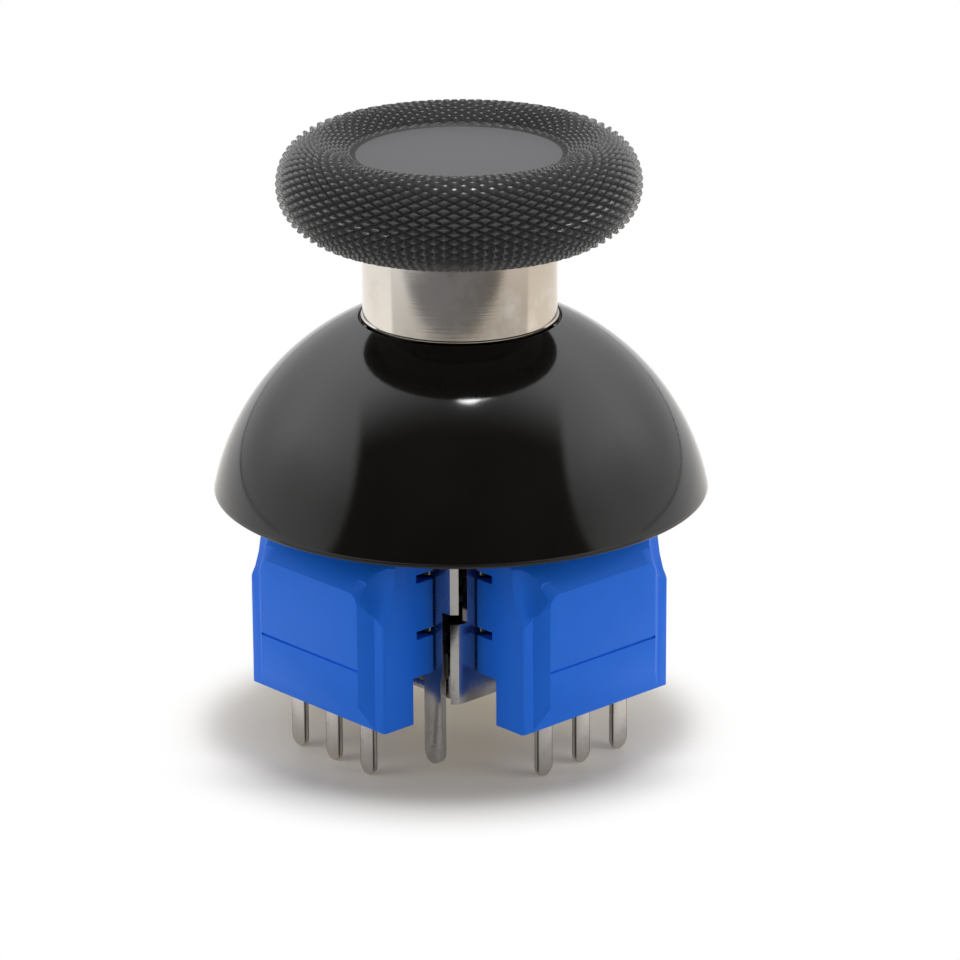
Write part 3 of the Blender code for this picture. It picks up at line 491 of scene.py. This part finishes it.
ROOM_REAR = 0.8          # behind
ROOM_SIDE = 0.85         # and where they meet at both sides
ROOM_BLACK = 0.005       # and the dark room
ROOM_WIDTH = 0.89
ROOM_EDGE = 0.03         # how softly it ends there
ROOM_TAPER = 0.17        # the dark room narrows upwards, per radian
ROOM_TOP = (64, 108)     # and ends over this rise, in degrees
WALL_RISE = (20, 110)    # the walls brighten over this one
WALL_FALL = (120, 170)   # and dim again over this one, behind
WALL_END = (0.8, 1.0)    # how far aside they meet
AHEAD = (0.35, 0.95)     # how far ahead the soft light weakens


def make_world():
    """A white studio. What shines in it also sees a dark room behind the camera."""
    world = bpy.data.worlds.new("studio")
    world.use_nodes = True
    bpy.context.scene.world = world
    studio = Finish(world.node_tree)
    direction = studio.make("ShaderNodeTexCoord", output="Generated")
    x, y, up = direction.axis("X"), direction.axis("Y"), direction.axis("Z")
    rise = up.math("ARCTAN2", x * FRONT.x + y * FRONT.y)
    across = (x * SIDE.x + y * SIDE.y).math("ABSOLUTE")
    dark = 1 - (across + rise * ROOM_TAPER).step(ROOM_WIDTH - ROOM_EDGE, ROOM_WIDTH + ROOM_EDGE)
    dark = dark * (1 - rise.step(*map(math.radians, ROOM_TOP)))
    wall = ROOM_DIM + (ROOM_WHITE - ROOM_DIM) * rise.step(*map(math.radians, WALL_RISE))
    wall = wall - (ROOM_WHITE - ROOM_REAR) * rise.step(*map(math.radians, WALL_FALL))
    end = across.step(*WALL_END)
    wall = wall * (1 - end) + end * ROOM_SIDE
    shiny = wall * (1 - dark) + ROOM_BLACK
    glossy = studio.ray("Is Glossy Ray")
    ahead = (x * FRONT.x + y * FRONT.y).step(*AHEAD)
    light = glossy * shiny + (1 - glossy) * (SOFT_LIGHT - ahead * (SOFT_LIGHT - SOFT_FRONT))
    seen = studio.ray("Is Camera Ray")
    background = studio.tree.nodes["Background"]
    background.inputs["Color"].default_value = rgb(1, 1, 1)
    studio.connect(background.inputs["Strength"], seen + (1 - seen) * light)


def make_floor():
    """A white floor that carries the shadow near the module, deepened and warmed by painted shadow in
    its colour and a faint warm glow of painted light, and is plain white further out.

    Polished metal also shows where it ends, and the dark room beyond."""
    bm = bmesh.new()
    bmesh.ops.create_grid(bm, x_segments=1, y_segments=1, size=FLOOR_SIZE)
    floor = bpy.data.objects.new("floor", to_mesh(bm, "floor"))
    bpy.context.scene.collection.objects.link(floor)
    floor.location.z = FLOOR_Z
    material, finish = new_finish("white floor")
    place = finish.millimetres()
    x, y = place.axis("X"), place.axis("Y")
    front = x * FRONT.x + y * FRONT.y
    side = x * SIDE.x + y * SIDE.y
    shadow_front, shadow_side = front - SHADOW_FRONT, side - SHADOW_SIDE
    away = (shadow_front * shadow_front + shadow_side * shadow_side).power(0.5)
    # painted shadow: the floor's colour is warm and darker near the module and darker still ahead of
    # it
    warm, pale = rgb(0.83, 0.77, 0.67), rgb(0.93, 0.91, 0.885)
    tint = finish.blend(away.step(*SHADOW_WARM), warm, pale)
    tint = finish.blend(front.step(*SHADOW_DEEP), tint, rgb(0.49, 0.48, 0.47))
    long_front, long_side = front * FRONT_LONG, shadow_side * FRONT_WIDE
    outer = (long_front * long_front + long_side * long_side).power(0.5)
    clear = 1 - (1 - away.step(*FADE)) * (1 - outer.step(*FRONT_FADE))
    # the faint warm emission is painted light: a glow that lifts and warms the shadow
    surface(finish, Base_Color=tint, Roughness=0.45, Specular_IOR_Level=0.3,
            Emission_Color=rgb(1, 0.85, 0.56), Emission_Strength=0.09)
    out_front, out_side = front - TABLE_FRONT, side - TABLE_SIDE
    reach = (out_front * out_front + out_side * out_side).power(0.5)
    beyond = reach.step(TABLE_RADIUS - 1, TABLE_RADIUS + 1)
    beyond = beyond * (1 - side.math("ABSOLUTE").step(*TABLE_WIDE))
    glossy = finish.ray("Is Glossy Ray")
    shade = finish.make("ShaderNodeEmission", None, {"Color": rgb(0.20, 0.20, 0.21)})
    white = finish.make("ShaderNodeEmission", None, {"Color": rgb(1, 1, 1)})
    shader = Value(finish, finish.tree.nodes["Principled BSDF"].outputs[0])
    plain = finish.ray("Is Camera Ray") * clear + glossy * away.step(*MIRROR_FADE)
    mixed = finish.make("ShaderNodeMixShader", None, {0: plain, 1: shader, 2: white})
    mixed = finish.make("ShaderNodeMixShader", None, {0: glossy * beyond, 1: mixed, 2: shade})
    finish.connect(finish.tree.nodes["Material Output"].inputs[0], mixed)
    floor.data.materials.append(material)


def make_panel(name, place, size, power, shows):
    """A soft round lamp that faces the module; shows is whether polished surfaces mirror it."""
    lamp = bpy.data.lights.new(name, "AREA")
    lamp.shape = "DISK"
    lamp.size = size * MM
    lamp.energy = power
    panel = bpy.data.objects.new(name, lamp)
    bpy.context.scene.collection.objects.link(panel)
    panel.location = place * MM
    panel.visible_glossy = shows
    panel.rotation_euler = (place - UP * LAMP_AIM_Z).to_track_quat("Z", "Y").to_euler()


make_world()
make_floor()
make_panel("left softbox", -SIDE * 270 + FRONT * 60 + UP * 110, 210, 0.225, False)
make_panel("right softbox", SIDE * 270 + FRONT * 80 + UP * 110, 210, 0.26, False)
make_panel("top softbox", UP * 300 + SIDE * 15 - FRONT * 20, 132, 0.35, True)
make_panel("top spot", UP * 300 + SIDE * 15 + FRONT * 24, 52, 0.15, True)


# Pieces

def knurl_section():
    """Points along the rim's section, one half row apart, from the disc's edge to the underside."""
    start = DISC_RADIUS + DISC_BEVEL + GROOVE
    dish = [(start + (CREST_RADIUS - start) * s / DISH_STEPS,
             DISC_Z + (CREST_Z - DISC_Z) * (1 - (1 - s / DISH_STEPS) ** DISH_CURVE))
            for s in range(DISH_STEPS)]
    upper = arc((CREST_RADIUS, RIM_Z), (RIM_RADIUS - CREST_RADIUS, CREST_Z - RIM_Z), 90, 0, 40)
    lower = arc((RIM_BOTTOM_RADIUS, RIM_Z),
                (RIM_RADIUS - RIM_BOTTOM_RADIUS, RIM_Z - RIM_BOTTOM_Z), 0, -90, 60)
    fine = [Vector(p) for p in dish + upper + lower[1:]]
    lengths = [0.0]
    for first, second in zip(fine, fine[1:]):
        lengths.append(lengths[-1] + (second - first).length)
    rows = round(lengths[-1] / KNURL_PITCH)
    points = []
    index = 0
    for row in range(rows + 1):
        want = lengths[-1] * row / rows
        while index < len(fine) - 2 and lengths[index + 1] < want:
            index += 1
        share = (want - lengths[index]) / (lengths[index + 1] - lengths[index])
        points.append(fine[index].lerp(fine[index + 1], share))
    return points


def make_topper():
    """The grip: a smooth disc in a rim of pyramid knurls, and a stem that holds a magnet."""
    section = knurl_section()
    web = DISC_Z - TOPPER_WEB
    head = [(0, DISC_Z), (DISC_RADIUS, DISC_Z),
            (DISC_RADIUS + DISC_EASE, DISC_Z - DISC_EASE / 4),
            (DISC_RADIUS + DISC_BEVEL, DISC_Z - DISC_EASE)]
    tail = [(COUNTERBORE, RIM_BOTTOM_Z + RIM_LAND), (COUNTERBORE, web), (STEM_RADIUS, web),
            (STEM_RADIUS, STEM_BOTTOM), (POCKET_RADIUS, STEM_BOTTOM),
            (POCKET_RADIUS, POCKET_TOP), (0, POCKET_TOP)]
    columns = 2 * KNURL_COUNT
    bm = spin_profile(head + [tuple(p) for p in section] + tail, columns, closed=False)
    first, last = 1, len(section) - 2
    raised = {}
    for vert in bm.verts:
        spot = Vector((vert.co.xy.length, vert.co.z))
        row = min(range(len(section)), key=lambda number: (section[number] - spot).length)
        if (section[row] - spot).length > NEAR or not first <= row <= last:
            continue
        tangent = section[row + 1] - section[row - 1]
        outward = Vector((tangent.y, -tangent.x)).normalized()
        if outward.dot(section[row] - Vector((CREST_RADIUS, RIM_Z))) < 0:
            outward = -outward
        angle = math.atan2(vert.co.y, vert.co.x)
        column = round(angle / (math.tau / columns))
        raised[vert] = (row + column) % 2 == 0
        fade = min(1, row / KNURL_FADE, (len(section) - 1 - row) / KNURL_FADE)
        step = fade * (KNURL_PEAK if raised[vert] else -KNURL_DEPTH)
        radius = vert.co.xy.length + outward.x * step
        vert.co = (radius * math.cos(angle), radius * math.sin(angle), vert.co.z + outward.y * step)
    for face in list(bm.faces):
        corners = list(face.verts)
        if len(corners) == 4 and all(corner in raised for corner in corners):
            sunk = [corner for corner in corners if not raised[corner]]
            bmesh.utils.face_split(face, sunk[0], sunk[1])
    peaks = [vert for vert, is_peak in raised.items() if is_peak]
    bmesh.ops.bevel(bm, geom=peaks, offset=KNURL_FLAT, offset_type="PERCENT", segments=1,
                    profile=0.5, affect="VERTICES", clamp_overlap=True, material=-1)
    # painted light: 1 on the knurl's tops, painted lighter as a highlight; 0 in its grooves and the
    # band next to the disc, painted near black as shade
    painted_light = bm.verts.layers.float.new(PAINTED_LIGHT)
    for vert in bm.verts:
        ring = DISC_RADIUS + 2 * NEAR < vert.co.xy.length < KNURL_START
        sunk = raised.get(vert) is False or ring
        vert[painted_light] = 0.0 if sunk else 1.0
    add_piece("topper_grip", to_mesh(bm, "topper_grip", KNURL_SMOOTH), grip_black(), "grip",
              "topper")


def make_dome():
    """The cover with a rounded rim and the recess that the collar stands in."""
    start = math.degrees(math.acos((RECESS_RADIUS + DOME_EDGE) / DOME_WIDE))
    end = math.degrees(math.asin((DOME_RIM_Z + DOME_EDGE - DOME_CENTRE_Z) / DOME_TALL))
    outside = arc((0, DOME_CENTRE_Z), (DOME_WIDE, DOME_TALL), start, end, 60)
    top, rim = outside[0], outside[-1]
    web_z = DOME_SEAT_Z - DOME_WEB
    inner_start = math.degrees(math.asin((DOME_RIM_Z - GIMBAL_Z) / DOME_INNER))
    inner_end = math.degrees(math.asin((web_z - GIMBAL_Z) / DOME_INNER))
    inside = arc((0, GIMBAL_Z), (DOME_INNER, DOME_INNER), inner_start, inner_end, 30)
    boss_z = web_z - DOME_BOSS_DROP
    edge = (DOME_EDGE, DOME_EDGE)
    profile = [*arc((top[0], top[1] - DOME_EDGE), edge, 180, 110, 4), *outside,
               *arc((rim[0] - DOME_EDGE, rim[1]), edge, -15, -90, 5),
               *inside, (DOME_BOSS_RADIUS, web_z), (DOME_BOSS_RADIUS, boss_z),
               (SHAFT_BORE, boss_z), (SHAFT_BORE, DOME_SEAT_Z), (RECESS_RADIUS, DOME_SEAT_Z)]
    add_piece("dome_cover", to_mesh(spin_profile(profile, DOME_FACETS), "dome_cover"),
              gloss_black(), "stick", "dome")


def make_collar():
    """The turned neck, with a fine lip at its lower end and a narrower foot."""
    lip_radius = COLLAR_RADIUS + LIP
    shoulder = (COLLAR_RADIUS - COLLAR_BEVEL, COLLAR_TOP - COLLAR_BEVEL)
    profile = [(SOCKET_RADIUS, COLLAR_TOP - COLLAR_BEVEL),
               (SOCKET_RADIUS + COLLAR_BEVEL, COLLAR_TOP),
               *arc(shoulder, (COLLAR_BEVEL, COLLAR_BEVEL), 90, 0, 4),
               (COLLAR_RADIUS, COLLAR_BOTTOM + 2 * LIP), (lip_radius, COLLAR_BOTTOM + 1.5 * LIP),
               (lip_radius, COLLAR_BOTTOM),
               (SPIGOT_RADIUS, COLLAR_BOTTOM), (SPIGOT_RADIUS, SPIGOT_BOTTOM),
               (SHAFT_BORE, SPIGOT_BOTTOM), (SHAFT_BORE, COLLAR_FLOOR),
               (SOCKET_RADIUS, COLLAR_FLOOR)]
    add_piece("neck", to_mesh(spin_profile(profile, COLLAR_FACETS), "neck"), turned_nickel(),
              "stick", "neck_collar")


def make_rounded():
    """The moulded and stamped pieces: copies with rounded edges, and finishes for the rest."""
    blue, steel = sensor_blue(), stamped_steel()
    for side in "xy":
        add_piece(f"{side}_housing_shell", rounded_copy(f"{side}_sensor_housing", MOULDED_ROUND),
                  blue, "module", f"{side}_sensor_housing")
        for number in (1, 2, 3):
            pin = f"{side}_sensor_pin_{number}"
            add_piece(f"{side}_terminal_{number}", rounded_copy(pin, PIN_ROUND), tinned_metal(pin),
                      "module", pin)
    for number in (1, 2):
        pin = f"switch_pin_{number}"
        add_piece(f"switch_terminal_{number}", rounded_copy(pin, PIN_ROUND), tinned_metal(pin),
                  "module", pin)
    add_piece("frame_shell", rounded_copy("metal_frame", FRAME_ROUND, reshape=tighten_bends),
              steel, "module", "metal_frame")
    add_piece("base_shell", rounded_copy("base_plate", MOULDED_ROUND), steel, "module",
              "base_plate")
    grey = plastic("switch grey nylon", (0.50, 0.50, 0.48), (0.60, 0.60, 0.58), 0.35)
    add_piece("switch_body", rounded_copy("switch_housing", SWITCH_ROUND), grey, "module",
              "switch_housing")
    add_piece("switch_lid", rounded_copy("switch_cover", COVER_ROUND), steel, "module",
              "switch_cover")
    dress("switch_plunger", grey)
    acetal = plastic("rocker black acetal", (0.016, 0.016, 0.017), (0.026, 0.026, 0.027), 0.35)
    for node in ("x_rocker", "y_rocker", "x_magnet_holder", "y_magnet_holder", "spring_seat",
                 "x_sensor_chip", "y_sensor_chip"):
        dress(node, acetal)
    card = plastic("sensor board green", (0.02, 0.11, 0.05), (0.03, 0.16, 0.07), 0.3)
    magnet = bright_metal("magnet nickel", (0.50, 0.49, 0.47), (0.62, 0.61, 0.59), (1, 1, 1))
    wire = bright_metal("spring wire", (0.55, 0.55, 0.54), (0.75, 0.75, 0.74), (3, 3, 0.5))
    for side in "xy":
        dress(f"{side}_sensor_board", card)
        dress(f"{side}_magnet", magnet)
    dress("neck_magnet", magnet)
    dress("topper_magnet", magnet)
    dress("return_spring", wire)
    for node in ("stick_shaft", "pivot_pin", "switch_dome"):
        dress(node, steel)


def dress(node, finish):
    """Gives a CAD node, whose shape stays, its finish."""
    slots = nodes[node].material_slots
    for place in slots:
        place.material = finish
    if not slots:
        nodes[node].data.materials.append(finish)


make_topper()
make_dome()
make_collar()
make_rounded()
